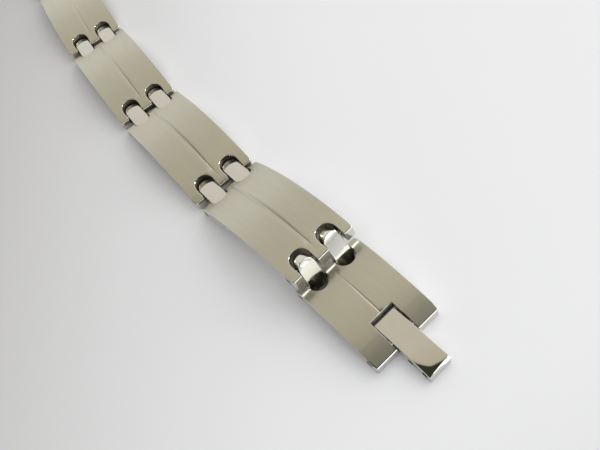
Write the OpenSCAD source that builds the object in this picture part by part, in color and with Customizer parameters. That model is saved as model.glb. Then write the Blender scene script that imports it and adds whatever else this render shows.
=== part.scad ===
// Stainless steel link bracelet, lying open on a flat surface with its face up.
// Eight arched plates are joined by pairs of flat links, two pins to a joint, and a small
// hinged tongue at one end snaps over a cross bar at the other end when it is worn.
// +X runs along the bracelet towards the tongue, +Z is up, and z = 0 is the surface.

/* [Plates] */
// Width across a plate
plate_w = 13; // [12.6:0.1:15]
// Length of each of the six middle plates, foot edge to foot edge
plate_len = 28.4; // [24:0.2:32]
// Length of the plates at the two ends of the bracelet
short_len = 18.8; // [17.6:0.2:24]
// Thickness at a plate's ends
end_t = 1.85; // [1.75:0.05:2.2]
// Thickness in the middle, above the hollow underside
mid_t = 2; // [1.6:0.1:2.3]
// Radius of the arched top
arch_r = 42; // [38:1:60]
// Length of the flat foot at each end of the underside
foot_len = 3.6; // [3:0.1:4]
// Radius of the rounded nose at the start of a plate
nose_r = 3.4; // [3:0.1:3.8]
// Radius of the corners, seen from above
corner_r = 0.4; // [0.2:0.1:0.8]
// Bevel along the top edge of the square end
bevel = 0.15; // [0.05:0.05:0.25]

/* [Centre groove] */
// Width of a middle plate's V groove where it is deepest
groove_w = 1.1; // [0.8:0.1:1.6]
// Depth of a middle plate's V groove where it is deepest
groove_depth = 0.3; // [0.2:0.05:0.4]
// Width of the fainter groove of the two short plates
short_groove_w = 0.5; // [0.4:0.1:1.2]
// Depth of the fainter groove of the two short plates
short_groove_depth = 0.1; // [0.1:0.05:0.3]
// Distance from a middle plate's ends to where its groove runs out
groove_end = 1.3; // [0.7:0.1:3]

/* [Links and pins] */
// Distance between the two pins of a joint
pin_pitch = 4.1; // [4.1:0.1:4.6]
// Distance from a plate's end to its pin
pin_inset = 1.75; // [1.6:0.05:1.8]
// Height of the link pins above a plate's feet
pin_z = 1.05; // [1.05:0.01:1.1]
// Diameter of a pin
pin_d = 1; // [0.9:0.05:1]
// Diameter of a pin's hole in a plate
pin_hole_d = 1.2; // [1.1:0.05:1.2]
// Depth that a pin's ends lie inside a plate's sides
pin_recess = 0.3; // [0.1:0.1:0.8]
// Diameter of a link's bores, loose enough to let the bracelet curve sideways
link_hole_d = 1.4; // [1.4:0.05:1.5]
// Width of a link
link_w = 3.2; // [3:0.1:3.3]
// Thickness of a link
link_t = 1.8; // [1.7:0.05:1.8]
// Distance from a bore's axis to the round end of a link
link_reach = 1.75; // [1.65:0.05:1.8]
// Distance of a link from the bracelet's centre line
link_offset = 2.9; // [2.9:0.1:3.4]
// Width of a link's notch in a plate
notch_w = 3.65; // [3.65:0.05:3.8]
// Depth of a link's notch in a plate's square end
notch_d = 3.85; // [3.85:0.05:4.2]
// Depth of a link's notch in a plate's rounded start
start_notch_d = 4.05; // [3.85:0.05:4.2]

/* [Clasp] */
// Width of the slot for the tongue in both short plates
slot_w = 4.6; // [4.4:0.1:5]
// Depth of the slot in the clasp plate
slot_d = 5.6; // [5.5:0.1:6]
// Depth of the slot in the end plate
catch_slot_d = 6.6; // [6.6:0.1:7]
// Height of the tongue's hinge and of the cross bar above a plate's feet
hinge_z = 0.85; // [0.8:0.05:0.95]
// Distance from the end plate's edge to its cross bar
bar_inset = 3.1; // [3:0.05:3.2]
// Diameter of the cross bar
bar_d = 1.1; // [0.9:0.05:1.1]
// Width of the tongue
tongue_w = 4.2; // [4:0.1:4.2]
// Length of the tongue beyond its hinge
tongue_out = 8; // [7.8:0.1:8.4]
// Length of the tail that opens the tongue, on the other side of the hinge
tongue_tail = 3.2; // [2.6:0.1:3.4]
// Height of the tongue's top above its hinge
tongue_over = 1.3; // [1.2:0.05:1.4]
// Depth of the tongue's underside below its hinge
tongue_under = 0.9; // [0.85:0.05:0.95]
// Diameter of the holes for the tongue's two cross pins
tongue_hole_d = 1.2; // [1.1:0.05:1.2]
// Diameter of the tongue's two cross pins
tongue_pin_d = 1; // [0.8:0.05:1]
// Depth that these pins' ends lie inside the tongue's sides
tongue_pin_recess = 0.6; // [0.1:0.1:1]

/* [Lie on the surface] */
// Slope of the plate next to the clasp plate, which is propped up by its links
prop_slope = 10.6; // [8:0.2:11]
// Slope of the clasp plate down to the surface
clasp_slope = 3.8; // [3:0.2:5]
// Lean of the two raised links, one more and one less, within the play of their bores
link_lean = 4.5; // [0:0.5:4.5]

/* [Hidden] */
$fn = 96;
notch_r = notch_w / 2;
end_foot_len = 4.6;
// Lift of the nose's circle, so that it crosses the arched top at a slight angle.
nose_lift = 0.015;
bar_slot_w = bar_d + 0.2;
tongue_pin_spread = 1.4;
tongue_pin_drop = 0.2;
tongue_round = 0.7;
// Middle and half length of the short plates' grooves.
clasp_groove = [1, 7.3];
end_groove = [-0.6, 8];
steel = [0.70, 0.68, 0.61];
polished = [0.78, 0.76, 0.70];

// The plates in order from the end plate to the clasp plate: length, turn about +Z, slope.
chain = [
    [short_len, -11.5, 0],
    [plate_len, -10, 0],
    [plate_len, -7.5, 0],
    [plate_len, -4, 0],
    [plate_len, 0.6, 0],
    [plate_len, 5.1, 0],
    [plate_len, 9, prop_slope],
    [short_len, 7.2, -clasp_slope]
];
last = len(chain) - 1;

function plate_l(i) = chain[i][0];
function turn(i) = chain[i][1];
function slope(i) = chain[i][2];
function along(h, p) = [cos(p) * cos(h), cos(p) * sin(h), sin(p)];
function across(h) = [-sin(h), cos(h), 0];
function above(h, p) = [-sin(p) * cos(h), -sin(p) * sin(h), cos(p)];

// A plate that slopes up stands on its start, and one that slopes down stands on its end.
function start_h(i) = slope(i) > 0
    ? pin_inset * sin(slope(i)) + pin_z * cos(slope(i))
    : (plate_l(i) - pin_inset) * sin(-slope(i)) + pin_z * cos(slope(i));
function end_h(i) = start_h(i) + (plate_l(i) - 2 * pin_inset) * sin(slope(i));

// Joint j lies between plates j - 1 and j. Its links take the mean turn of the two.
function link_turn(j) = (turn(j - 1) + turn(j)) / 2;
function link_slope(j) = asin((start_h(j) - end_h(j - 1)) / pin_pitch);

// Middle of a plate's foot plane, worked out from plate to plate along the pins.
function foot(i) = i == 0
    ? [0, 0, 0]
    : start_pin(i) - local(i, pin_inset - plate_l(i) / 2, pin_z);
function local(i, x, z) = x * along(turn(i), slope(i)) + z * above(turn(i), slope(i));
function end_pin(i) = foot(i) + local(i, plate_l(i) / 2 - pin_inset, pin_z);
function start_pin(i) = end_pin(i - 1) + pin_pitch * along(link_turn(i), link_slope(i));

// The tongue lies with the edge of its outer end on the surface.
hinge = foot(last) + local(last, short_len / 2 - pin_inset, hinge_z);
tongue_slope = -asin((hinge.z - tongue_under) / tongue_out);

// The bounding box of the plates' corners and the tongue gives the origin.
corners = [for (i = [0:last], sx = [-1, 1], sy = [-1, 1])
    foot(i) + local(i, sx * (plate_l(i) / 2 - corner_r), 0)
        + sy * (plate_w / 2 - corner_r) * across(turn(i))];
x_lo = min([for (c = corners) c.x]) - corner_r;
x_hi = hinge.x + tongue_out * cos(turn(last)) + tongue_w / 2 * sin(turn(last));
y_lo = min([for (c = corners) c.y]) - corner_r;
y_hi = max([for (c = corners) c.y]) + corner_r;
origin = [(x_lo + x_hi) / 2, (y_lo + y_hi) / 2, 0];

// Part to show

// Moves a plate's own frame, with x along it and z = 0 at its feet, to its place.
module at_plate(i) {
    translate(foot(i) - origin) rotate([0, -slope(i), turn(i)]) children();
}

// A round bar across the bracelet, centred on the plate's own x and z.
module cross_bar(d, length, x, z) {
    translate([x, 0, z]) rotate([90, 0, 0]) cylinder(d = d, h = length, center = true);
}

// Side view of a plate: arched top, rounded nose at the start, square end, hollow underside.
module plate_side(length, foot_l) {
    half = length / 2;
    arch_z = end_t - sqrt(arch_r ^ 2 - half ^ 2);
    to_foot = sqrt(half ^ 2 + arch_z ^ 2);
    in_r = arch_r - nose_r;
    lean = atan(half / -arch_z) - acos((to_foot ^ 2 + in_r ^ 2 - nose_r ^ 2) / (2 * to_foot * in_r));
    hollow_h = arch_z + arch_r - mid_t;
    hollow_half = half - foot_l;
    hollow_r = (hollow_half ^ 2 + hollow_h ^ 2) / (2 * hollow_h);
    difference() {
        intersection() {
            translate([0, arch_z]) circle(r = arch_r, $fn = 240);
            translate([-length, 0]) square([length + half, arch_r]);
            union() {
                translate([-in_r * sin(lean), arch_z + in_r * cos(lean) + nose_lift]) circle(r = nose_r);
                translate([-arch_r * sin(lean), 0]) square([length, arch_r]);
            }
        }
        translate([0, hollow_h - hollow_r]) circle(r = hollow_r, $fn = 240);
    }
}

// A plate seen from above, with rounded corners.
module plate_outline(length) {
    square([length - 2 * corner_r, plate_w], center = true);
    square([length, plate_w - 2 * corner_r], center = true);
    for (sx = [-1, 1], sy = [-1, 1])
        translate([sx * (length / 2 - corner_r), sy * (plate_w / 2 - corner_r)]) circle(r = corner_r);
}

// The two round-bottomed notches for the links, at the square end.
module link_notches(length, depth) {
    for (sy = [-1, 1])
        translate([length / 2 - depth + notch_r, sy * link_offset, -1])
            linear_extrude(plate_w) {
                circle(r = notch_r);
                translate([0, -notch_r]) square([depth, notch_w]);
            }
}

// The square slot for the tongue, at the square end.
module tongue_slot(length, depth) {
    translate([length / 2 - depth, -slot_w / 2, -1]) cube([depth + 1, slot_w, plate_w]);
}

// The V groove on the centre line. It is a ring of a larger radius than the arched top, so
// it is deepest at its middle and runs out to nothing at both ends.
module groove(length, middle, half_len, width, depth) {
    arch_z = end_t - sqrt(arch_r ^ 2 - (length / 2) ^ 2);
    ring_r = 1 / (1 / arch_r - 2 * depth / half_len ^ 2);
    lean = asin(middle / arch_r);
    drop = arch_r - depth - ring_r;
    rise = 3 * depth;
    spread = rise * width / (2 * depth);
    translate([drop * sin(lean), 0, arch_z + drop * cos(lean)]) rotate([90, 0, 0])
        rotate_extrude($fn = 240)
            polygon([[ring_r, 0], [ring_r + rise, -spread], [ring_r + rise, spread]]);
}

// The body that every plate starts from, before its notches are cut.
module plate_body(length, foot_l) {
    difference() {
        intersection() {
            translate([0, plate_w / 2, 0]) rotate([90, 0, 0])
                linear_extrude(plate_w) plate_side(length, foot_l);
            linear_extrude(plate_w) plate_outline(length);
        }
        translate([length / 2, 0, end_t]) rotate([0, 45, 0])
            cube([bevel * sqrt(2), plate_w + 1, bevel * sqrt(2)], center = true);
    }
}

module middle_plate(i) {
    color(steel) at_plate(i) difference() {
        plate_body(plate_len, foot_len);
        link_notches(plate_len, notch_d);
        mirror([1, 0, 0]) link_notches(plate_len, start_notch_d);
        groove(plate_len, 0, plate_len / 2 - groove_end, groove_w, groove_depth);
        for (sx = [-1, 1])
            cross_bar(pin_hole_d, plate_w + 1, sx * (plate_len / 2 - pin_inset), pin_z);
    }
}

module clasp_plate() {
    color(steel) at_plate(last) difference() {
        plate_body(short_len, foot_len);
        mirror([1, 0, 0]) link_notches(short_len, start_notch_d);
        tongue_slot(short_len, slot_d);
        groove(short_len, clasp_groove[0], clasp_groove[1], short_groove_w, short_groove_depth);
        cross_bar(pin_hole_d, plate_w + 1, pin_inset - short_len / 2, pin_z);
        cross_bar(pin_hole_d, plate_w + 1, short_len / 2 - pin_inset, hinge_z);
    }
}

module end_plate() {
    color(steel) at_plate(0) difference() {
        plate_body(short_len, end_foot_len);
        link_notches(short_len, notch_d);
        mirror([1, 0, 0]) tongue_slot(short_len, catch_slot_d);
        groove(short_len, end_groove[0], end_groove[1], short_groove_w, short_groove_depth);
        cross_bar(pin_hole_d, plate_w + 1, short_len / 2 - pin_inset, pin_z);
        cross_bar(bar_d + 0.1, plate_w + 1, bar_inset - short_len / 2, hinge_z);
    }
}

// A flat link with round ends and a bore near each end. In the steep joint the left link leans
// a little less and the right one a little more.
module link(j, sy) {
    back = end_pin(j - 1) + sy * link_offset * across(turn(j - 1));
    front = start_pin(j) + sy * link_offset * across(turn(j));
    bore_x = pin_pitch / 2;
    lean = j == last ? link_lean * sy : 0;
    color(polished) translate((back + front) / 2 - origin)
        rotate([0, -link_slope(j) - lean, link_turn(j)]) difference() {
            translate([0, 0, -link_t / 2]) linear_extrude(link_t) {
                square([pin_pitch + 2 * link_reach - link_w, link_w], center = true);
                for (sx = [-1, 1])
                    translate([sx * (bore_x + link_reach - link_w / 2), 0]) circle(d = link_w);
            }
            for (sx = [-1, 1]) cross_bar(link_hole_d, link_w + 1, sx * bore_x, 0);
        }
}

// The pin in the square end of plate j - 1.
module back_pin(j) {
    color(polished) at_plate(j - 1)
        cross_bar(pin_d, plate_w - 2 * pin_recess, plate_l(j - 1) / 2 - pin_inset, pin_z);
}

// The pin in the rounded start of plate j.
module front_pin(j) {
    color(polished) at_plate(j)
        cross_bar(pin_d, plate_w - 2 * pin_recess, pin_inset - plate_l(j) / 2, pin_z);
}

module end_bar() {
    color(polished) at_plate(0)
        cross_bar(bar_d, plate_w - 2 * pin_recess, bar_inset - short_len / 2, hinge_z);
}

module tongue_hinge_pin() {
    color(polished) at_plate(last)
        cross_bar(pin_d, plate_w - 2 * pin_recess, short_len / 2 - pin_inset, hinge_z);
}

// Moves the tongue's own frame, with its hinge at the origin, to its place.
module at_tongue() {
    translate(hinge - origin) rotate([0, -tongue_slope, turn(last)]) children();
}

// Where the end plate's cross bar comes when the bracelet is closed.
function catch_x() = pin_inset + pin_pitch - 2 * pin_inset + bar_inset;

module tongue_side() {
    difference() {
        translate([-tongue_tail, -tongue_under])
            square([tongue_tail + tongue_out, tongue_under + tongue_over]);
        difference() {
            translate([tongue_out - tongue_round, tongue_over - tongue_round]) square(tongue_round + 1);
            translate([tongue_out - tongue_round, tongue_over - tongue_round]) circle(r = tongue_round);
        }
        translate([catch_x(), 0]) circle(d = bar_slot_w);
        translate([catch_x() - bar_slot_w / 2, -tongue_under - 1]) square([bar_slot_w, tongue_under + 1]);
    }
}

module tongue() {
    color(polished) at_tongue() difference() {
        translate([0, tongue_w / 2, 0]) rotate([90, 0, 0]) linear_extrude(tongue_w) tongue_side();
        cross_bar(pin_d + 0.1, tongue_w + 1, 0, 0);
        for (sx = [-1, 1])
            cross_bar(tongue_hole_d, tongue_w + 1, catch_x() + sx * tongue_pin_spread, -tongue_pin_drop);
    }
}

module tongue_pin(sx) {
    x = catch_x() + sx * tongue_pin_spread;
    color(polished) at_tongue()
        cross_bar(tongue_pin_d, tongue_w - 2 * tongue_pin_recess, x, -tongue_pin_drop);
}

end_plate();
middle_plate(1);  // plate_6
middle_plate(2);  // plate_5
middle_plate(3);  // plate_4
middle_plate(4);  // plate_3
middle_plate(5);  // plate_2
middle_plate(6);  // plate_1
clasp_plate();
link(1, 1);  // link_7_left
link(2, 1);  // link_6_left
link(3, 1);  // link_5_left
link(4, 1);  // link_4_left
link(5, 1);  // link_3_left
link(6, 1);  // link_2_left
link(7, 1);  // link_1_left
link(1, -1);  // link_7_right
link(2, -1);  // link_6_right
link(3, -1);  // link_5_right
link(4, -1);  // link_4_right
link(5, -1);  // link_3_right
link(6, -1);  // link_2_right
link(7, -1);  // link_1_right
back_pin(1);  // pin_7_back
back_pin(2);  // pin_6_back
back_pin(3);  // pin_5_back
back_pin(4);  // pin_4_back
back_pin(5);  // pin_3_back
back_pin(6);  // pin_2_back
back_pin(7);  // pin_1_back
front_pin(1);  // pin_7_front
front_pin(2);  // pin_6_front
front_pin(3);  // pin_5_front
front_pin(4);  // pin_4_front
front_pin(5);  // pin_3_front
front_pin(6);  // pin_2_front
front_pin(7);  // pin_1_front
end_bar();
tongue_hinge_pin();
tongue();
tongue_pin(-1);  // tongue_pin_inner
tongue_pin(1);  // tongue_pin_outer
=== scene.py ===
# %% [markdown]
# # A stainless steel link bracelet
# The bracelet is a chain of arched steel plates. Each joint has two flat links that sit in
# notches of the plates and turn on cross pins, and one end carries a small hinged tongue.
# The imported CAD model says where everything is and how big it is. This lesson makes the
# same pieces again the way a workshop would: it stamps a flat blank, rounds its edges,
# bends it, presses the groove and drills the holes. That way gives clean, smooth meshes,
# which mirror-like metal needs, and it leaves every piece in the place the CAD gives it.
# %% Load the frame
import math

import bmesh
import bpy
from mathutils import Matrix, Vector


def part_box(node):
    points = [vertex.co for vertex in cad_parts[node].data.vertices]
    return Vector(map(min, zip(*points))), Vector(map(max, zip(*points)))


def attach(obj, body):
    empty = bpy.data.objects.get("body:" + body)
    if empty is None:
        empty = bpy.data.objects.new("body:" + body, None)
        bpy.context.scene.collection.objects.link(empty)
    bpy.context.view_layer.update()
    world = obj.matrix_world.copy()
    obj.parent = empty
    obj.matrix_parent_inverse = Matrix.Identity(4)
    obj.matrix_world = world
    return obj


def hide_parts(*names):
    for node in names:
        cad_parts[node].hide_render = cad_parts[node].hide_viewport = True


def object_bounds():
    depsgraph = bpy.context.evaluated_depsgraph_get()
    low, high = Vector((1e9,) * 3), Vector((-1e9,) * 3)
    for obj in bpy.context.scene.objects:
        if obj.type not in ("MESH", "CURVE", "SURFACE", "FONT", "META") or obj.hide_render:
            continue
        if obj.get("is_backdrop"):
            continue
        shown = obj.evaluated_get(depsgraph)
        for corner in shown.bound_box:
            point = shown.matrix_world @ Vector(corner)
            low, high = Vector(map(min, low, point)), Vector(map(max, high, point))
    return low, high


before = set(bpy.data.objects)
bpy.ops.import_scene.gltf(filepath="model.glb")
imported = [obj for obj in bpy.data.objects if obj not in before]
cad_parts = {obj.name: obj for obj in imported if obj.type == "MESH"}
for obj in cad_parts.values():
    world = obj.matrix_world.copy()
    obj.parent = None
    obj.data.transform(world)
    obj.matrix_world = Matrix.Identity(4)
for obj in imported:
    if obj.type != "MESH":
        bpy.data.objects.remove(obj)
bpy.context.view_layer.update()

# %% [markdown]
# ## Sizes
# The pieces are modelled in millimetres, each in its own upright position, because
# numbers like 13 are easier to read than 0.013. The last step of each piece scales it to
# metres and moves it to its place. These are the same sizes as the CAD model has.
# %% Sizes in millimetres
METRES = 0.001
PLATE_W = 13.0
LONG, SHORT = 28.4, 18.8
END_T, MID_T = 1.85, 2.0
ARCH_R, NOSE_R, NOSE_LIFT = 42.0, 3.4, 0.015
FOOT_LEN, END_FOOT_LEN = 3.6, 4.6
CORNER_R = 0.4
# middle, half length, half width and depth of the groove of each kind of plate
LONG_GROOVE = (0.0, 12.9, 0.55, 0.3)
CLASP_GROOVE = (1.0, 7.3, 0.25, 0.1)
END_GROOVE = (-0.6, 8.0, 0.25, 0.1)
PIN_PITCH, PIN_INSET, PIN_Z = 4.1, 1.75, 1.05
PIN_D, PIN_HOLE_D, PIN_RECESS = 1.0, 1.2, 0.3
LINK_W, LINK_T, LINK_REACH, LINK_OFFSET, LINK_HOLE_D = 3.2, 1.8, 1.75, 2.9, 1.4
NOTCH_W, END_NOTCH, START_NOTCH = 3.65, 3.85, 4.05
SLOT_W, CLASP_SLOT, CATCH_SLOT = 4.6, 5.6, 6.6
HINGE_Z, BAR_INSET, BAR_D = 0.85, 3.1, 1.1
BAR_PLAY, CATCH_PLAY, HINGE_PLAY = 0.1, 0.2, 0.1
TONGUE_W, TONGUE_OUT, TONGUE_TAIL, TONGUE_OVER, TONGUE_UNDER = 4.2, 8.0, 3.2, 1.3, 0.9
TONGUE_PIN_RECESS = 0.6
print("plates:", LONG, "and", SHORT, "mm long,", PLATE_W, "mm wide")

# %% [markdown]
# ## Where each piece lies
# The bracelet lies slack on a table, so each plate is turned a little more than the one
# before it, and the plate next to the clasp is propped up by its links. Walking along the
# chain from pin to pin gives every place: a plate ends at a pin, a link leads to the next
# pin, and there the next plate starts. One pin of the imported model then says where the
# whole chain is, and the others show that the walk is right.
# %% Walk along the chain
# length, turn about the upright axis and slope of each plate, from the hidden end on
CHAIN = [
    (SHORT, -11.5, 0.0),
    (LONG, -10.0, 0.0),
    (LONG, -7.5, 0.0),
    (LONG, -4.0, 0.0),
    (LONG, 0.6, 0.0),
    (LONG, 5.1, 0.0),
    (LONG, 9.0, 10.6),
    (SHORT, 7.2, -3.8),
]
LINK_LEAN = 4.5
LAST = len(CHAIN) - 1


def turned(turn, slope=0.0):
    """A turn about the upright axis after a rise of slope degrees."""
    upright = Matrix.Rotation(math.radians(turn), 4, "Z")
    return upright @ Matrix.Rotation(math.radians(-slope), 4, "Y")


def pin_height(i):
    """Height of the pin at a plate's start, over the foot that the plate stands on."""
    length, _, slope = CHAIN[i]
    a = math.radians(slope)
    reach = PIN_INSET if slope > 0 else PIN_INSET - length
    return reach * math.sin(a) + PIN_Z * math.cos(a)


def place(i, x, y, z):
    """A point of plate i, given in the plate's own millimetres."""
    return plate_at[i] @ Vector((x, y, z))


plate_at = []
links_at = {}
for i, (length, turn, slope) in enumerate(CHAIN):
    spin = turned(turn, slope)
    if i == 0:
        foot = Vector((0, 0, 0))
    else:
        end = place(i - 1, CHAIN[i - 1][0] / 2 - PIN_INSET, 0, PIN_Z)
        mean = (CHAIN[i - 1][1] + turn) / 2
        rise = math.degrees(math.asin((pin_height(i) - end.z) / PIN_PITCH))
        start = end + turned(mean, rise) @ Vector((PIN_PITCH, 0, 0))
        foot = start - spin @ Vector((PIN_INSET - length / 2, 0, PIN_Z))
        links_at[LAST + 1 - i] = (i, mean, rise)
    plate_at.append(Matrix.Translation(foot) @ spin)

low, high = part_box("pin_1_front")
walked = place(LAST, PIN_INSET - SHORT / 2, 0, PIN_Z)
shift = Matrix.Translation((low + high) / 2 / METRES - walked)
plate_at = [shift @ m for m in plate_at]
for joint, (i, _, _) in sorted(links_at.items()):
    low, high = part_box(f"pin_{joint}_back")
    off = (low + high) / 2 / METRES - place(i - 1, CHAIN[i - 1][0] / 2 - PIN_INSET, 0, PIN_Z)
    print(f"joint {joint}: the walk is {off.length:.4f} mm off the CAD's pin")

# %% [markdown]
# ## Colours and nodes
# Colours are written as the hex values that a paint program shows. Blender computes with
# linear light, so one function turns them round. Another small function adds a shader
# node with its settings and its links, and a third one mixes two colours. They keep each
# material short enough to read.
# %% Helpers for materials
def linear(hex_colour):
    """An sRGB hex value such as C7C4B6 as linear red, green, blue and alpha."""
    parts = [int(hex_colour[k:k + 2], 16) / 255 for k in (0, 2, 4)]
    return [c / 12.92 if c <= 0.04045 else ((c + 0.055) / 1.055) ** 2.4 for c in parts] + [1.0]


def add(tree, kind, settings=(), **inputs):
    """Adds a node. An input is a value or the output that feeds it, and i6 is number 6."""
    node = tree.nodes.new(kind)
    for name, value in dict(settings).items():
        setattr(node, name, value)
    for name, value in inputs.items():
        socket = node.inputs[int(name[1:]) if name[1:].isdigit() else name.replace("_", " ")]
        if isinstance(value, bpy.types.NodeSocket):
            tree.links.new(value, socket)
        else:
            socket.default_value = value
    return node


def blend(tree, factor, first, second):
    """The first colour where factor is 0, and the second where it is 1."""
    mix = add(tree, "ShaderNodeMix", {"data_type": "RGBA"}, Factor=factor, i6=first, i7=second)
    return mix.outputs[2]


def new_material(name):
    """A new material and its empty node tree."""
    material = bpy.data.materials.new(name)
    material.use_nodes = True
    material.node_tree.nodes.clear()
    return material, material.node_tree


print("the plates' satin grey in linear light:", [round(c, 3) for c in linear("C7C4B6")])

# %% [markdown]
# ## Satin brushed steel
# The faces of the plates were drawn over an abrasive belt, lengthwise. The scratches are
# a few hundredths of a millimetre apart, so no single one shows, but together they smear
# reflections across the brushing and keep them fairly sharp along it. Two things make
# that: an anisotropic metal whose direction comes from the piece's own UV map, and a
# stretched noise that varies tone, roughness and height. The noise is drawn at about
# 0.15 mm, coarser than the real scratches, so that the picture can show it.
# %% Satin brushed steel
def make_satin():
    """Steel brushed lengthwise, with streaks in its tone, roughness and height."""
    material, tree = new_material("satin_brushed_stainless_steel")
    along = add(tree, "ShaderNodeUVMap", {"uv_map": "brush"})
    fine = add(tree, "ShaderNodeMapping", Vector=along.outputs[0], Scale=(8.0, 0.25, 1.0))
    streaks = add(tree, "ShaderNodeTexNoise", {"noise_dimensions": "2D"},
                  Vector=fine.outputs[0], Scale=1.0, Detail=3.0, Roughness=0.6)
    broad = add(tree, "ShaderNodeMapping", Vector=along.outputs[0], Scale=(0.8, 0.12, 1.0))
    bands = add(tree, "ShaderNodeTexNoise", {"noise_dimensions": "2D"},
                Vector=broad.outputs[0], Scale=1.0, Detail=2.0, Roughness=0.5)
    tone = add(tree, "ShaderNodeMath", {"operation": "MULTIPLY_ADD"},
               i0=bands.outputs[0], i1=0.5, i2=streaks.outputs[0])
    ramp = add(tree, "ShaderNodeValToRGB", Fac=tone.outputs[0])
    ramp.color_ramp.elements[0].position = 0.45
    ramp.color_ramp.elements[0].color = linear("C0BDAF")
    ramp.color_ramp.elements[1].position = 1.05
    ramp.color_ramp.elements[1].color = linear("C7C4B6")
    rough = add(tree, "ShaderNodeMapRange", Value=streaks.outputs[0],
                From_Min=0.3, From_Max=0.7, To_Min=0.33, To_Max=0.38)
    bump = add(tree, "ShaderNodeBump", Height=streaks.outputs[0], Strength=0.03,
               Distance=0.02 * METRES)
    across = add(tree, "ShaderNodeTangent", {"direction_type": "UV_MAP", "uv_map": "brush"})
    metal = add(tree, "ShaderNodeBsdfPrincipled", Base_Color=ramp.outputs[0],
                Metallic=1.0, Roughness=rough.outputs[0], Anisotropic=0.8,
                Normal=bump.outputs[0], Tangent=across.outputs[0])
    add(tree, "ShaderNodeOutputMaterial", Surface=metal.outputs[0])
    return material


satin = make_satin()
print(satin.name, "has", len(satin.node_tree.nodes), "nodes")

# %% [markdown]
# ## Polished steel
# The links, the tongue, the plates' sides and their rounded rims are buffed to a mirror.
# A mirror takes its look from what stands round it, so the material itself needs little:
# a pale, slightly warm metal, a low roughness that rises where fingers have smudged it,
# and the faint wavy scratches that a table leaves.
# %% Polished steel
def make_polished(name, colour, smooth, worn):
    """Plain metal in this colour, whose roughness goes from smooth to worn."""
    material, tree = new_material(name)
    where = add(tree, "ShaderNodeTexCoord")
    smudges = add(tree, "ShaderNodeTexNoise", Vector=where.outputs["Object"],
                  Scale=420.0, Detail=3.0, Roughness=0.55)
    rough = add(tree, "ShaderNodeMapRange", Value=smudges.outputs[0],
                From_Min=0.35, From_Max=0.7, To_Min=smooth, To_Max=worn)
    squeezed = add(tree, "ShaderNodeMapping", Vector=where.outputs["Object"],
                   Scale=(600.0, 5200.0, 5200.0), Rotation=(0.0, 0.0, 0.4))
    scratches = add(tree, "ShaderNodeTexNoise", Vector=squeezed.outputs[0],
                    Scale=1.0, Detail=2.0, Roughness=0.5, Distortion=0.6)
    bump = add(tree, "ShaderNodeBump", Height=scratches.outputs[0], Strength=0.015,
               Distance=0.01 * METRES)
    smudged = [0.93 * c for c in linear(colour)[:3]] + [1.0]
    tint = blend(tree, smudges.outputs[0], linear(colour), smudged)
    metal = add(tree, "ShaderNodeBsdfPrincipled", Base_Color=tint,
                Metallic=1.0, Roughness=rough.outputs[0], Normal=bump.outputs[0])
    add(tree, "ShaderNodeOutputMaterial", Surface=metal.outputs[0])
    return material


polished = make_polished("mirror_polished_stainless_steel", "D9D6CF", 0.05, 0.11)
print(polished.name, "has", len(polished.node_tree.nodes), "nodes")

# %% [markdown]
# ## Drawn wire
# Pins are cut from drawn wire and ground flush, so they are smoother than a brushed face
# and duller than a buffed one. The same recipe with more roughness gives that.
# %% Drawn wire steel
drawn = make_polished("drawn_stainless_wire", "C6C3BA", 0.18, 0.30)
print(drawn.name, "has", len(drawn.node_tree.nodes), "nodes")

# %% [markdown]
# ## Blanked edges and the milled slot
# No wheel or belt reaches the walls of the notches. They stay as the punch left them, dull,
# and they are painted darker than bare steel is. That painted shade makes the notches read as
# deep. The end wall of the tongue's slot is milled, and its fine cutter marks scatter so much
# light that it looks pale and even.
# %% Blanked and milled steel
# painted shade: the notch walls' dark grey stands in for the shade deep inside the notches
blanked_shaded_steel = make_polished("blanked_edge_steel_with_painted_shade", "8E8A7C", 0.30, 0.42)
milled = make_polished("milled_slot_stainless_steel", "ACA899", 0.55, 0.75)
SATIN, MIRROR, SHADED_RAW, MILLED = 0, 1, 2, 3
plate_metals = [satin, polished, blanked_shaded_steel, milled]
print("a plate's", len(plate_metals), "metals:", [m.name for m in plate_metals])

# %% [markdown]
# ## Workshop helpers
# These few helpers do what the tools of a small metal workshop do: mark out a line, round
# upright corners, soften a rim, and drill cross holes. The drill is the Boolean modifier,
# because a hole through a curved plate has no simple operator of its own. The last helper
# scales a finished piece to metres, moves it to its place, hides the CAD node that it stands
# for and hangs the piece on its body.
# %% Slice, round and soften
# points nearer to each other than this many millimetres count as one place
NEAR = 0.01
# a half-round end is two bevels that stop a hair short of each other and are then merged
HAIR = 0.0005
# soften leaves bends that are flatter than this as they are
SHARP_BEND = math.radians(50)


def slice_at(bm, point, normal):
    """Cuts new edges into every face that the plane crosses."""
    everything = bm.verts[:] + bm.edges[:] + bm.faces[:]
    bmesh.ops.bisect_plane(bm, geom=everything, dist=1e-5, plane_co=point, plane_no=normal)


def round_uprights(bm, corners, radius, segments):
    """Rounds the upright edges that stand at these corners."""
    found = []
    for e in bm.edges:
        a, b = (v.co for v in e.verts)
        upright = (a.xy - b.xy).length < 1e-4
        if upright and any((a.xy - Vector(c)).length < 1e-3 for c in corners):
            found.append(e)
    bmesh.ops.bevel(bm, geom=found, offset=radius, offset_type="OFFSET", segments=segments,
                    profile=0.5, affect="EDGES", clamp_overlap=True, material=-1)


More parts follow.
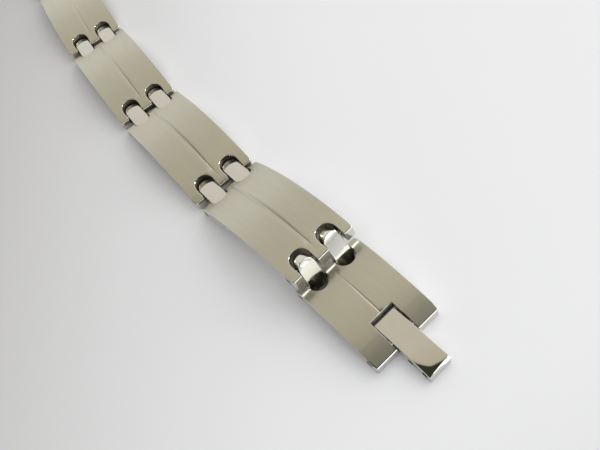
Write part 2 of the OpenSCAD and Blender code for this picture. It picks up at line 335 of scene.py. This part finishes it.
def soften(bm, radius, segments, chosen):
    """Rounds the edges that a test of the edge's two faces and middle point chooses."""
    found = []
    for e in bm.edges:
        if len(e.link_faces) == 2 and e.calc_face_angle() > SHARP_BEND:
            if chosen(e, (e.verts[0].co + e.verts[1].co) / 2):
                found.append(e)
    # with the overlap clamp on, one tiny edge would shrink all the rims with it
    bmesh.ops.bevel(bm, geom=found, offset=radius, offset_type="OFFSET", segments=segments,
                    profile=0.5, affect="EDGES", clamp_overlap=False, material=-1)
    bmesh.ops.remove_doubles(bm, verts=bm.verts, dist=1e-4)


def is_cap(e, up):
    """True if one of the edge's faces looks up, or down where up is -1."""
    return any(f.normal.z * up > 0.99 for f in e.link_faces)


# %% Bars and cross holes
def round_bar(diameter, length, x=0.0, z=0.0, bevel=0.0):
    """A round bar across the bracelet, along Y."""
    bm = bmesh.new()
    bmesh.ops.create_cone(bm, cap_ends=True, segments=40, radius1=diameter / 2,
                          radius2=diameter / 2, depth=length)
    if bevel:
        soften(bm, bevel, 3, lambda e, m: True)
    bmesh.ops.rotate(bm, verts=bm.verts, matrix=Matrix.Rotation(math.pi / 2, 3, "X"))
    bmesh.ops.translate(bm, verts=bm.verts, vec=(x, 0, z))
    return bm


def join(pieces):
    """One bmesh out of several."""
    whole = bmesh.new()
    for bm in pieces:
        part = bpy.data.meshes.new("part")
        bm.to_mesh(part)
        whole.from_mesh(part)
        bm.free()
        bpy.data.meshes.remove(part)
    return whole


def cut_away(bm, cutters):
    """The piece less the cutters, by the Boolean modifier."""
    objects = []
    for name, source in (("work", bm), ("cutter", join(cutters))):
        mesh = bpy.data.meshes.new(name)
        source.to_mesh(mesh)
        source.free()
        objects.append(bpy.data.objects.new(name, mesh))
        bpy.context.scene.collection.objects.link(objects[-1])
    work, cutter = objects
    # a drill leaves bright walls
    for p in cutter.data.polygons:
        p.material_index = MIRROR
    for o in objects:
        for m in plate_metals:
            o.data.materials.append(m)
    drill = work.modifiers.new("drill", "BOOLEAN")
    drill.object, drill.operation, drill.solver = cutter, "DIFFERENCE", "EXACT"
    ready = work.evaluated_get(bpy.context.evaluated_depsgraph_get())
    result = bmesh.new()
    result.from_mesh(ready.to_mesh())
    for o in objects:
        mesh = o.data
        bpy.data.objects.remove(o)
        bpy.data.meshes.remove(mesh)
    return result


# %% Finish a piece
made = []
# bends from this angle on keep a hard edge in the shading
HARD_BEND = math.radians(35)
# each piece starts this much farther on in the brushing's noise, so that no two are alike
BRUSH_STEP = 40.0


def finish_piece(bm, node, matrix, materials, keep_sharp=None):
    """Names, shades and places a piece that stands for a CAD node."""
    for e in bm.edges:
        angle = e.calc_face_angle(0.0) if len(e.link_faces) == 2 else 0.0
        e.smooth = angle < HARD_BEND and not (keep_sharp and keep_sharp(e))
    for f in bm.faces:
        f.smooth = True
    brush = bm.loops.layers.uv.new("brush")
    start = BRUSH_STEP * len(made)
    for f in bm.faces:
        for loop in f.loops:
            x, y, _ = loop.vert.co
            loop[brush].uv = (y + start, x + start)
    bmesh.ops.transform(bm, verts=bm.verts,
                        matrix=Matrix.Scale(METRES, 4) @ matrix)
    mesh = bpy.data.meshes.new(f"{node}_steel")
    bm.to_mesh(mesh)
    bm.free()
    for m in materials:
        mesh.materials.append(m)
    piece = bpy.data.objects.new(f"{node}_steel", mesh)
    bpy.context.scene.collection.objects.link(piece)
    even = piece.modifiers.new("flat faces stay flat", "WEIGHTED_NORMAL")
    even.keep_sharp, even.weight = True, 80
    body = "tongue" if node.startswith("tongue") and node != "tongue_hinge_pin" else "bracelet"
    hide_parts(node)
    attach(piece, body)
    low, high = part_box(node)
    corners = [v.co for v in mesh.vertices]
    gaps = [min(c[k] for c in corners) - low[k] for k in range(3)]
    gaps += [max(c[k] for c in corners) - high[k] for k in range(3)]
    off = max(abs(gap) for gap in gaps)
    made.append(piece)
    print(f"{node}: {len(mesh.polygons)} faces, box within {off / METRES:.3f} mm of the CAD's")


# %% [markdown]
# ## The plates
# A real plate is blanked out of a steel strip with its notches, tumbled so that its rims
# turn round and bright, pressed to an arch together with its groove, and drilled. Doing
# the same here keeps every step simple: in the flat, the outline is a grid with cells
# taken out, and its rims bevel cleanly. Only then is the plate sliced across and each
# point lifted to the arch. The slices lie closer together on the rounded nose, where the
# surface turns quickly.
# %% Stamp a flat blank
def stamp_blank(length, thick, cutouts):
    """A flat plate less its cut-outs, each given as x0, x1, y0, y1."""
    bm = bmesh.new()
    bmesh.ops.create_grid(bm, x_segments=1, y_segments=1, size=0.5)
    bmesh.ops.scale(bm, verts=bm.verts, vec=(length, PLATE_W, 1))
    for x0, x1, y0, y1 in cutouts:
        for x in (x0, x1):
            slice_at(bm, (x, 0, 0), (1, 0, 0))
        for y in (y0, y1):
            slice_at(bm, (0, y, 0), (0, 1, 0))
    gone = []
    for f in bm.faces:
        c = f.calc_center_median()
        if any(x0 < c.x < x1 and y0 < c.y < y1 for x0, x1, y0, y1 in cutouts):
            gone.append(f)
    bmesh.ops.delete(bm, geom=gone, context="FACES")
    grown = bmesh.ops.extrude_face_region(bm, geom=bm.faces[:], use_keep_orig=True)
    upper = [g for g in grown["geom"] if isinstance(g, bmesh.types.BMVert)]
    bmesh.ops.translate(bm, verts=upper, vec=(0, 0, thick))
    bmesh.ops.recalc_face_normals(bm, faces=bm.faces)
    bmesh.ops.dissolve_limit(bm, angle_limit=0.01, verts=bm.verts, edges=bm.edges)
    return bm


# %% The arch, the nose and the hollow of a plate
# slices on the nose, and their distance on the arch
NOSE_SLICES, ARCH_STEP = 10, 0.9


def plate_curves(length, foot_len):
    """Functions for the height of a plate's top and underside, and where to slice it."""
    half = length / 2
    arch_z = END_T - math.sqrt(ARCH_R ** 2 - half ** 2)
    to_foot = math.hypot(half, arch_z)
    in_r = ARCH_R - NOSE_R
    part = (to_foot ** 2 + in_r ** 2 - NOSE_R ** 2) / (2 * to_foot * in_r)
    lean = math.atan2(half, -arch_z) - math.acos(part)
    nose_x, nose_z = -in_r * math.sin(lean), arch_z + in_r * math.cos(lean) + NOSE_LIFT
    join_x = -ARCH_R * math.sin(lean)
    hollow_h = arch_z + ARCH_R - MID_T
    hollow_half = half - foot_len
    hollow_r = (hollow_half ** 2 + hollow_h ** 2) / (2 * hollow_h)

    def top(x):
        arch = arch_z + math.sqrt(ARCH_R ** 2 - x * x)
        if x >= join_x:
            return arch
        return min(arch, nose_z + math.sqrt(max(NOSE_R ** 2 - (x - nose_x) ** 2, 0.0)))

    def under(x):
        if abs(x) >= hollow_half:
            return 0.0
        return hollow_h - hollow_r + math.sqrt(hollow_r ** 2 - x * x)

    steep = math.asin((half + nose_x) / NOSE_R)
    turns = [lean + (steep - lean) * k / NOSE_SLICES for k in range(NOSE_SLICES)]
    slices = [nose_x - NOSE_R * math.sin(a) for a in turns]
    count = round((half - join_x) / ARCH_STEP)
    slices += [join_x + (half - join_x) * k / count for k in range(1, count)]
    slices += [-hollow_half, hollow_half]
    return top, under, slices, hollow_half


# %% Bend a plate and press its groove
# where the groove is sliced lengthwise, as parts of its half width
GROOVE_LINES = (-1.0, -0.75, -0.5, -0.3, -0.1, 0.1, 0.3, 0.5, 0.75, 1.0)
# its bottom is rounded up to this part, and at its ends it closes to NARROWEST
GROOVE_ROUND, NARROWEST = 0.3, 0.05
# from this distance on, the metal beside the groove doesn't move
GROOVE_REACH = 1.0


def press_plate(bm, length, foot_len, groove):
    """Bends the flat blank to the plate's arch and presses the centre groove."""
    middle, half_len, half_wide, depth = groove
    top, under, slices, hollow_half = plate_curves(length, foot_len)
    for x in slices:
        slice_at(bm, (x, 0, 0), (1, 0, 0))
    for t in GROOVE_LINES:
        slice_at(bm, (0, t * half_wide, 0), (0, 1, 0))
    for y in (-GROOVE_REACH, GROOVE_REACH):
        slice_at(bm, (0, y, 0), (0, 1, 0))
    for v in bm.verts:
        x, y, z = v.co
        deep = max(1 - ((x - middle) / half_len) ** 2, 0.0)
        t = abs(y) / half_wide
        bottom = 1 - GROOVE_ROUND / 2 - t * t / (2 * GROOVE_ROUND)
        wall = 1 - t if t > GROOVE_ROUND else bottom
        narrow = max(deep, NARROWEST)
        if t <= 1.0001:
            v.co.y = y * narrow
        elif abs(y) < GROOVE_REACH:
            room = (GROOVE_REACH - narrow * half_wide) / (GROOVE_REACH - half_wide)
            v.co.y = math.copysign(GROOVE_REACH - (GROOVE_REACH - abs(y)) * room, y)
        if z > END_T / 2:
            sunk = depth * deep * max(wall, 0.0)
            v.co.z = max(top(x) - (END_T - z) - sunk, under(x))
        else:
            v.co.z = min(under(x) + z, top(x))
    return hollow_half


# %% One function for all plates
# radii of the rims: all round, underneath, square end and clasp's outer end
RIM, UNDER_RIM, END_RIM, CLASP_RIM = 0.08, 0.05, 0.16, 0.28


def make_plate(length, foot_len, notches, slots, bores, groove, end_rim=END_RIM):
    """A plate in its own position. notches and slots are (side, depth), side -1 or 1."""
    half, r = length / 2, NOTCH_W / 2
    cutouts, round_at = [], []
    for side, depth in notches:
        inner, outer = side * (half - depth), side * (half + 1)
        for y in (-LINK_OFFSET, LINK_OFFSET):
            cutouts.append((min(inner, outer), max(inner, outer), y - r, y + r))
            round_at += [(inner, y - r), (inner, y + r)]
    for side, depth in slots:
        inner, outer = side * (half - depth), side * (half + 1)
        cutouts.append((min(inner, outer), max(inner, outer), -SLOT_W / 2, SLOT_W / 2))
    bm = stamp_blank(length, END_T, cutouts)
    outer_corners = [(sx * half, sy * PLATE_W / 2) for sx in (-1, 1) for sy in (-1, 1)]
    round_uprights(bm, outer_corners, CORNER_R, 5)
    round_uprights(bm, round_at, r - HAIR, 12)
    bmesh.ops.remove_doubles(bm, verts=bm.verts, dist=4 * HAIR)
    # the bending rounds the nose, so its own edge gets no rim
    nose = -half + 0.2
    soften(bm, end_rim, 5, lambda e, m: is_cap(e, 1) and m.x > half - CORNER_R - NEAR)
    soften(bm, RIM, 3, lambda e, m: is_cap(e, 1) and m.x > nose)
    soften(bm, UNDER_RIM, 2, lambda e, m: is_cap(e, -1) and m.x > nose)
    for f in bm.faces:
        c = f.calc_center_median()
        in_notch = any(side * c.x > half - depth - 0.2 for side, depth in notches)
        in_notch = in_notch and abs(abs(c.y) - LINK_OFFSET) < r + NEAR
        if f.normal.z > 0.99 and c.z > END_T - NEAR:
            f.material_index = SATIN
        # the notch walls get the dark metal, which is painted shade for the deep notches
        elif in_notch and abs(f.normal.z) < 0.1 and abs(c.x) < half - NEAR:
            f.material_index = SHADED_RAW
        elif abs(f.normal.x) > 0.99 and abs(c.x) < half - 1:
            f.material_index = MILLED
        else:
            f.material_index = MIRROR
    hollow_half = press_plate(bm, length, foot_len, groove)
    bmesh.ops.remove_doubles(bm, verts=bm.verts, dist=1e-3)
    drills = [round_bar(d, PLATE_W + 2, x, z) for d, x, z in bores]
    return cut_away(bm, drills), hollow_half


def hollow_edge(hollow_half):
    """A test for the crease where a foot ends and the hollow begins."""
    def test(e):
        a, b = (v.co for v in e.verts)
        return all(abs(abs(p.x) - hollow_half) < NEAR and p.z < 0.2 for p in (a, b))
    return test


# %% Make the eight plates
bores = [(PIN_HOLE_D, s * (LONG / 2 - PIN_INSET), PIN_Z) for s in (-1, 1)]
long_plate, long_hollow = make_plate(
    LONG, FOOT_LEN, [(1, END_NOTCH), (-1, START_NOTCH)], [], bores, LONG_GROOVE)
for i in range(1, LAST):
    finish_piece(long_plate.copy(), f"plate_{LAST - i}", plate_at[i], plate_metals,
                 hollow_edge(long_hollow))
long_plate.free()

bores = [(PIN_HOLE_D, PIN_INSET - SHORT / 2, PIN_Z),
         (PIN_HOLE_D, SHORT / 2 - PIN_INSET, HINGE_Z)]
clasp_plate, hollow = make_plate(
    SHORT, FOOT_LEN, [(-1, START_NOTCH)], [(1, CLASP_SLOT)], bores, CLASP_GROOVE, CLASP_RIM)
finish_piece(clasp_plate, "clasp_plate", plate_at[LAST], plate_metals,
             hollow_edge(hollow))

bores = [(PIN_HOLE_D, SHORT / 2 - PIN_INSET, PIN_Z),
         (BAR_D + BAR_PLAY, BAR_INSET - SHORT / 2, HINGE_Z)]
end_plate, hollow = make_plate(
    SHORT, END_FOOT_LEN, [(1, END_NOTCH)], [(-1, CATCH_SLOT)], bores, END_GROOVE)
finish_piece(end_plate, "end_plate", plate_at[0], plate_metals,
             hollow_edge(hollow))

# %% [markdown]
# ## The links
# A link is a short flat bar with half-round ends and a bore near each end. A cube whose
# four upright edges are rounded by half its width has exactly that outline. Buffing by
# hand takes a little more off the ends than off the middle, and this slight crown is what
# bends the reflections in an otherwise flat face.
# %% Make the fourteen links
LINK_RIM = 0.13
# fall of the crown one millimetre out, and the slices that it bends at
CROWN, CROWN_STEP, CROWN_ALONG, CROWN_ACROSS = 0.03, 0.18, 9, 7


def make_link():
    """A link in its own position, with its length along X."""
    bm = bmesh.new()
    bmesh.ops.create_cube(bm, size=1)
    length = PIN_PITCH + 2 * LINK_REACH
    bmesh.ops.scale(bm, verts=bm.verts, vec=(length, LINK_W, LINK_T))
    corners = [(sx * length / 2, sy * LINK_W / 2) for sx in (-1, 1) for sy in (-1, 1)]
    round_uprights(bm, corners, LINK_W / 2 - HAIR, 16)
    bmesh.ops.remove_doubles(bm, verts=bm.verts, dist=4 * HAIR)
    soften(bm, LINK_RIM, 5, lambda e, m: is_cap(e, 1) or is_cap(e, -1))
    centre = length / 2 - LINK_W / 2
    for k in range(CROWN_ALONG):
        for side in (-1, 1):
            slice_at(bm, (side * (centre + k * CROWN_STEP), 0, 0), (1, 0, 0))
    for k in range(-CROWN_ACROSS, CROWN_ACROSS + 1):
        slice_at(bm, (0, k * CROWN_STEP, 0), (0, 1, 0))
    for v in bm.verts:
        if abs(v.co.x) > centre and v.co.z > 0:
            v.co.z -= CROWN * ((abs(v.co.x) - centre) ** 2 + v.co.y ** 2)
    drills = [round_bar(LINK_HOLE_D, LINK_W + 2, s * PIN_PITCH / 2) for s in (-1, 1)]
    return cut_away(bm, drills)


# drilled walls take a piece's second metal, so a polished piece lists its metal twice
all_polished = [polished, polished]
link = make_link()
for joint, (i, mean, rise) in sorted(links_at.items()):
    for side, name in ((1, "left"), (-1, "right")):
        back = place(i - 1, CHAIN[i - 1][0] / 2 - PIN_INSET, side * LINK_OFFSET, PIN_Z)
        front = place(i, PIN_INSET - CHAIN[i][0] / 2, side * LINK_OFFSET, PIN_Z)
        lean = LINK_LEAN * side if joint == 1 else 0.0
        where = Matrix.Translation((back + front) / 2) @ turned(mean, rise + lean)
        finish_piece(link.copy(), f"link_{joint}_{name}", where, all_polished)
link.free()

# %% [markdown]
# ## Pins and bars
# A pin is a length of wire whose ends were ground and broken with a file, so a cylinder
# with a small rounding at both ends is the whole of it.
# %% Make the pins and bars
PIN_RIM = 0.12
across_plate = PLATE_W - 2 * PIN_RECESS
for joint, (i, _, _) in sorted(links_at.items()):
    back = round_bar(PIN_D, across_plate, CHAIN[i - 1][0] / 2 - PIN_INSET, PIN_Z, PIN_RIM)
    finish_piece(back, f"pin_{joint}_back", plate_at[i - 1], [drawn])
    front = round_bar(PIN_D, across_plate, PIN_INSET - CHAIN[i][0] / 2, PIN_Z, PIN_RIM)
    finish_piece(front, f"pin_{joint}_front", plate_at[i], [drawn])
bar = round_bar(BAR_D, across_plate, BAR_INSET - SHORT / 2, HINGE_Z, PIN_RIM)
finish_piece(bar, "end_bar", plate_at[0], [drawn])
hinge_pin = round_bar(PIN_D, across_plate, SHORT / 2 - PIN_INSET, HINGE_Z, PIN_RIM)
finish_piece(hinge_pin, "tongue_hinge_pin", plate_at[LAST], [drawn])

# %% [markdown]
# ## The tongue
# The tongue is a milled block. Its outer top edge has a chamfer, its underside has the
# slot that snaps over the other end's cross bar, and two small pins sit beside the slot.
# The polishing wheel has rolled the top off towards the end, most of all at one corner.
# That curve is too slight to see as a shape, but it decides what the corner mirrors.
# %% Make the tongue and its pins
CATCH_X = PIN_INSET + PIN_PITCH - 2 * PIN_INSET + BAR_INSET
PIN_SPREAD, PIN_DROP = 1.4, -0.2
hinge = place(LAST, SHORT / 2 - PIN_INSET, 0, HINGE_Z)
droop = -math.degrees(math.asin((hinge.z - TONGUE_UNDER) / TONGUE_OUT))
tongue_at = Matrix.Translation(hinge) @ turned(CHAIN[LAST][1], droop)

CHAMFER, CHAMFER_SKEW, TONGUE_RIM = 0.3, 0.07, 0.08
# where the roll-off starts: on the centre line, its skew, and its bulge at the -Y corner
ROLL_FROM, ROLL_SKEW, ROLL_CORNER, CORNER_FROM = 7.15, 0.33, 0.95, 0.6
# how steeply it falls, how softly it starts, and the slices that it bends at
ROLL_SLOPE, ROLL_START, ROLL_STEP, ROLL_LINES = 0.165, 0.1, 0.14, 30
# the slight bend of the whole top, and where along the tongue it starts
BEND, BEND_FROM = 0.006, 3.0


def chamfer_end(bm):
    """Files the outer top edge, a little wider towards +Y."""
    soften(bm, CHAMFER, 1, lambda e, m: m.x > TONGUE_OUT - NEAR and m.z > TONGUE_OVER - NEAR)
    for v in bm.verts:
        if abs(v.co.x - TONGUE_OUT + CHAMFER) < NEAR:
            v.co.x -= CHAMFER_SKEW * v.co.y


def roll_off(bm):
    """Lets the top fall away towards the end, from farther back at the -Y corner."""
    for k in range(1, ROLL_LINES):
        slice_at(bm, (TONGUE_OUT - k * ROLL_STEP, 0, 0), (1, 0, 0))
        slice_at(bm, (0, (k - ROLL_LINES / 2) * ROLL_STEP, 0), (0, 1, 0))
    for v in bm.verts:
        x, y, z = v.co
        if z > 0:
            bulge = ROLL_CORNER * max(-y - CORNER_FROM, 0.0) ** 2
            past = x - (ROLL_FROM + ROLL_SKEW * y - bulge)
            v.co.z -= ROLL_SLOPE * (past + math.hypot(past, ROLL_START)) / 2
            v.co.z -= BEND * max(x - BEND_FROM, 0.0) ** 2


def make_tongue():
    """The tongue with its hinge at the origin and its outer end along X."""
    bm = bmesh.new()
    bmesh.ops.create_cube(bm, size=1)
    long, high = TONGUE_OUT + TONGUE_TAIL, TONGUE_OVER + TONGUE_UNDER
    bmesh.ops.scale(bm, verts=bm.verts, vec=(long, TONGUE_W, high))
    centre = ((TONGUE_OUT - TONGUE_TAIL) / 2, 0, (TONGUE_OVER - TONGUE_UNDER) / 2)
    bmesh.ops.translate(bm, verts=bm.verts, vec=centre)
    chamfer_end(bm)
    soften(bm, TONGUE_RIM, 3, lambda e, m: True)
    roll_off(bm)
    slot = bmesh.new()
    bmesh.ops.create_cube(slot, size=1)
    bmesh.ops.scale(slot, verts=slot.verts, vec=(BAR_D + CATCH_PLAY, TONGUE_W + 2, 2))
    bmesh.ops.translate(slot, verts=slot.verts, vec=(CATCH_X, 0, -1))
    holes = [round_bar(BAR_D + CATCH_PLAY, TONGUE_W + 2, CATCH_X, 0),
             round_bar(PIN_D + HINGE_PLAY, TONGUE_W + 2, 0, 0)]
    holes += [round_bar(PIN_HOLE_D, TONGUE_W + 2, CATCH_X + s * PIN_SPREAD, PIN_DROP)
              for s in (-1, 1)]
    return cut_away(cut_away(bm, [slot]), holes)


finish_piece(make_tongue(), "tongue", tongue_at, all_polished)
across_tongue = TONGUE_W - 2 * TONGUE_PIN_RECESS
for side, name in ((-1, "inner"), (1, "outer")):
    pin = round_bar(PIN_D, across_tongue, CATCH_X + side * PIN_SPREAD, PIN_DROP, PIN_RIM)
    finish_piece(pin, f"tongue_pin_{name}", tongue_at, [drawn])
print("pieces made:", len(made))

# %% [markdown]
# ## The table
# The bracelet lies on a plain pale table top. It is only a stage, so it gets a quiet matte
# finish with the faintest unevenness, which keeps the soft shadow readable. Its colour also
# carries painted shade: it is greyer towards the near left, away from the window, and grey in
# front of the clasp, where the raised links mirror it.
# %% Table top
# half the table's side, and how far its top lies under the feet, in metres
TABLE_HALF, TABLE_GAP = 3.0, 0.00002


def fade(tree, source, outside, inside):
    """0 outside and 1 inside, with a soft change between the two values."""
    edge = add(tree, "ShaderNodeMapRange", {"interpolation_type": "SMOOTHSTEP"},
               Value=source, From_Min=outside, From_Max=inside)
    return edge.outputs[0]


def make_table():
    """The table top, which has its material and is staged as the floor."""
    material, tree = new_material("matte_white_laminate_painted_shade")
    where = add(tree, "ShaderNodeTexCoord")
    cloud = add(tree, "ShaderNodeTexNoise", Vector=where.outputs["Object"],
                Scale=6.0, Detail=4.0, Roughness=0.5)
    ramp = add(tree, "ShaderNodeValToRGB", Fac=cloud.outputs[0])
    ramp.color_ramp.elements[0].color = linear("E7E7EB")
    ramp.color_ramp.elements[1].color = linear("EBEBEF")
    # painted shade: the top is painted greyer towards the near left, away from the window,
    # where less light falls
    aside = add(tree, "ShaderNodeMapping", Vector=where.outputs["Object"],
                Rotation=(0.0, 0.0, math.radians(-60)))
    slanted = add(tree, "ShaderNodeSeparateXYZ", Vector=aside.outputs[0])
    painted_shade_away = fade(tree, slanted.outputs["X"], 0.05, -0.06)
    shaded_near_left = blend(tree, painted_shade_away, ramp.outputs[0], linear("BCBBBC"))
    # and painted shade in front of the clasp: a grey that only the raised links' mirror shows
    straight = add(tree, "ShaderNodeSeparateXYZ", Vector=where.outputs["Object"])
    painted_shade_ahead = fade(tree, straight.outputs["X"], 0.11, 0.20)
    tone = blend(tree, painted_shade_ahead, shaded_near_left, linear("BCBBB9"))
    matte = add(tree, "ShaderNodeBsdfPrincipled", Base_Color=tone, Roughness=0.6)
    add(tree, "ShaderNodeOutputMaterial", Surface=matte.outputs[0])
    bm = bmesh.new()
    bmesh.ops.create_grid(bm, x_segments=1, y_segments=1, size=TABLE_HALF)
    mesh = bpy.data.meshes.new("table_top")
    bm.to_mesh(mesh)
    bm.free()
    mesh.materials.append(material)
    table = bpy.data.objects.new("table_top", mesh)
    bpy.context.scene.collection.objects.link(table)
    table.location.z = -TABLE_GAP
    table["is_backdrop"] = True
    return table


table_top = make_table()
print("table top:", [round(d, 2) for d in table_top.dimensions[:2]], "m")

# %% [markdown]
# ## Light
# Polished metal shows its surroundings, so the room matters as much as the material. The
# room is pale near the horizon and a little warmer and darker overhead. One soft dark
# patch hangs over the clasp end like a dark screen, and a second one stands on the -Y
# side. They give the tongue its dark corner and the grooves their dark walls.
# %% The room
def both(tree, a, b):
    """Where a and b hold together."""
    return add(tree, "ShaderNodeMath", {"operation": "MULTIPLY"}, i0=a, i1=b).outputs[0]


def make_room():
    """The world, whose colour depends only on the direction."""
    world = bpy.data.worlds.new("pale_room")
    bpy.context.scene.world = world
    world.use_nodes = True
    tree = world.node_tree
    tree.nodes.clear()
    ray = add(tree, "ShaderNodeTexCoord").outputs["Generated"]
    parts = add(tree, "ShaderNodeSeparateXYZ", Vector=ray)
    sky = add(tree, "ShaderNodeValToRGB", Fac=parts.outputs["Z"])
    stops = ((0.0, "F8F8F6"), (0.44, "F8F7F2"), (0.58, "EFECE5"), (0.68, "E9E5DB"),
             (0.8, "E3DED1"), (0.94, "DDD7C7"), (1.0, "C1BAA2"))
    ramp = sky.color_ramp
    while len(ramp.elements) < len(stops):
        ramp.elements.new(0.5)
    for element, (position, colour) in zip(ramp.elements, stops):
        element.position = position
        element.color = linear(colour)
    # the angle from straight ahead of the clasp, over the top, to straight behind it
    rise = add(tree, "ShaderNodeMath", {"operation": "ARCTAN2"},
               i0=parts.outputs["Z"], i1=parts.outputs["X"])
    aside = add(tree, "ShaderNodeMath", {"operation": "ABSOLUTE"}, i0=parts.outputs["Y"])
    over = both(tree, fade(tree, rise.outputs[0], math.radians(93), math.radians(83)),
                fade(tree, rise.outputs[0], math.radians(36), math.radians(44)))
    over = both(tree, over, fade(tree, aside.outputs[0], 0.95, 0.7))
    beside = both(tree, fade(tree, parts.outputs["Y"], -0.3, -0.7),
                  fade(tree, parts.outputs["Z"], 0.2, 0.45))
    shade = add(tree, "ShaderNodeMath", {"operation": "MAXIMUM"}, i0=over, i1=beside)
    patched = blend(tree, shade.outputs[0], sky.outputs[0], linear("3E3F32"))
    glow = add(tree, "ShaderNodeBackground", Color=patched, Strength=1.0)
    add(tree, "ShaderNodeOutputWorld", Surface=glow.outputs[0])
    return world


room = make_room()
print(room.name, "has", len(room.node_tree.nodes), "nodes")

# %% [markdown]
# ## Windows, lamp and card
# Each light is set by its radiance, which is how bright a mirror shows it, so that it
# compares directly with the room. A window on the +Y side shapes the soft shadows, and a
# low, bluish one in front of the clasp turns one of the two raised links nearly white.
# Light bounced from the ceiling fills the shadows, and no mirror shows it. Two small
# helpers are seen by mirrors only: a lamp for the glints on rounded rims, and a slip of
# white card under the raised plate, for the bright line on the next plate.
# %% Windows, lamp and card
DAYLIGHT = (1.0, 0.99, 0.97)


def soft_light(name, position, aim, size, size_y, radiance, colour=DAYLIGHT):
    """A rectangular light of this radiance, which the camera itself does not see."""
    power = radiance * math.pi * size * size_y
    data = bpy.data.lights.new(name, "AREA")
    data.shape, data.size, data.size_y, data.energy = "RECTANGLE", size, size_y, power
    data.color = colour
    lamp = bpy.data.objects.new(name, data)
    bpy.context.scene.collection.objects.link(lamp)
    lamp.location = position
    lamp.rotation_euler = (Vector(aim) - Vector(position)).to_track_quat("-Z", "Y").to_euler()
    lamp.visible_camera = False
    print(f"{name}: {power:.2f} W")
    return lamp


soft_light("side_window", (0.08, 0.48, 0.38), (0.05, 0.0, 0.0), 0.75, 0.5, 0.7)
soft_light("front_window", (0.62, 0.16, 0.20), (0.09, 0.0, 0.0), 0.55, 0.34, 1.75,
           (0.82, 0.90, 1.0))
lamp = soft_light("small_lamp", (0.245, 0.44, 0.14), (0.04, 0.0, 0.0), 0.09, 0.09, 60.0)
lamp.visible_diffuse = False
bounce = soft_light("ceiling_bounce", (0.07, 0.10, 0.45), (0.06, 0.03, 0.0), 0.9, 0.9, 0.68,
                    (0.94, 0.965, 1.0))
bounce.visible_glossy = False
# the card's place, aim and height in the clasp plate's own millimetres, and its roll
CARD_AT, CARD_TO, CARD_H, CARD_ROLL = (-8.6, 0.0, 3.15), (-7.3, 0.0, 2.24), 0.7, 3.5
slip = soft_light("white_card", place(LAST, *CARD_AT) * METRES, place(LAST, *CARD_TO) * METRES,
                  PLATE_W * METRES, CARD_H * METRES, 2.4)
slip.rotation_euler.rotate_axis("Z", math.radians(CARD_ROLL))
slip.visible_diffuse = False

# %% [markdown]
# ## Camera
# The camera looks back along the bracelet from the clasp end, high up and rolled to one
# side. Its place and lens were worked out from the corners of the plates in the picture.
# %% Camera
EYE = Vector((134.95, -11.98, 92.19)) * METRES
LOOK = Vector((-0.55718, 0.11843, -0.82191))
RIGHT = Vector((0.54173, 0.80199, -0.25168))
data = bpy.data.cameras.new("camera")
data.lens, data.sensor_width = 39.06, 36.0
data.clip_start, data.clip_end = 0.005, 20.0
camera = bpy.data.objects.new("camera", data)
bpy.context.scene.collection.objects.link(camera)
up = RIGHT.cross(LOOK)
axes = Matrix((RIGHT, up, -LOOK)).transposed().to_4x4()
camera.matrix_world = Matrix.Translation(EYE) @ axes
bpy.context.scene.camera = camera
print("camera stands", round(EYE.length, 3), "m from the middle of the bracelet")

# %% [markdown]
# ## Finish
# The Standard view keeps the table's white and the steel's greys as they were set. The size of
# the finished model's box is printed.
# %% Finish
bpy.context.scene.view_settings.view_transform = "Standard"
low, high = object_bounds()
print("finished box in mm:", [round(1000 * v, 2) for v in high - low])
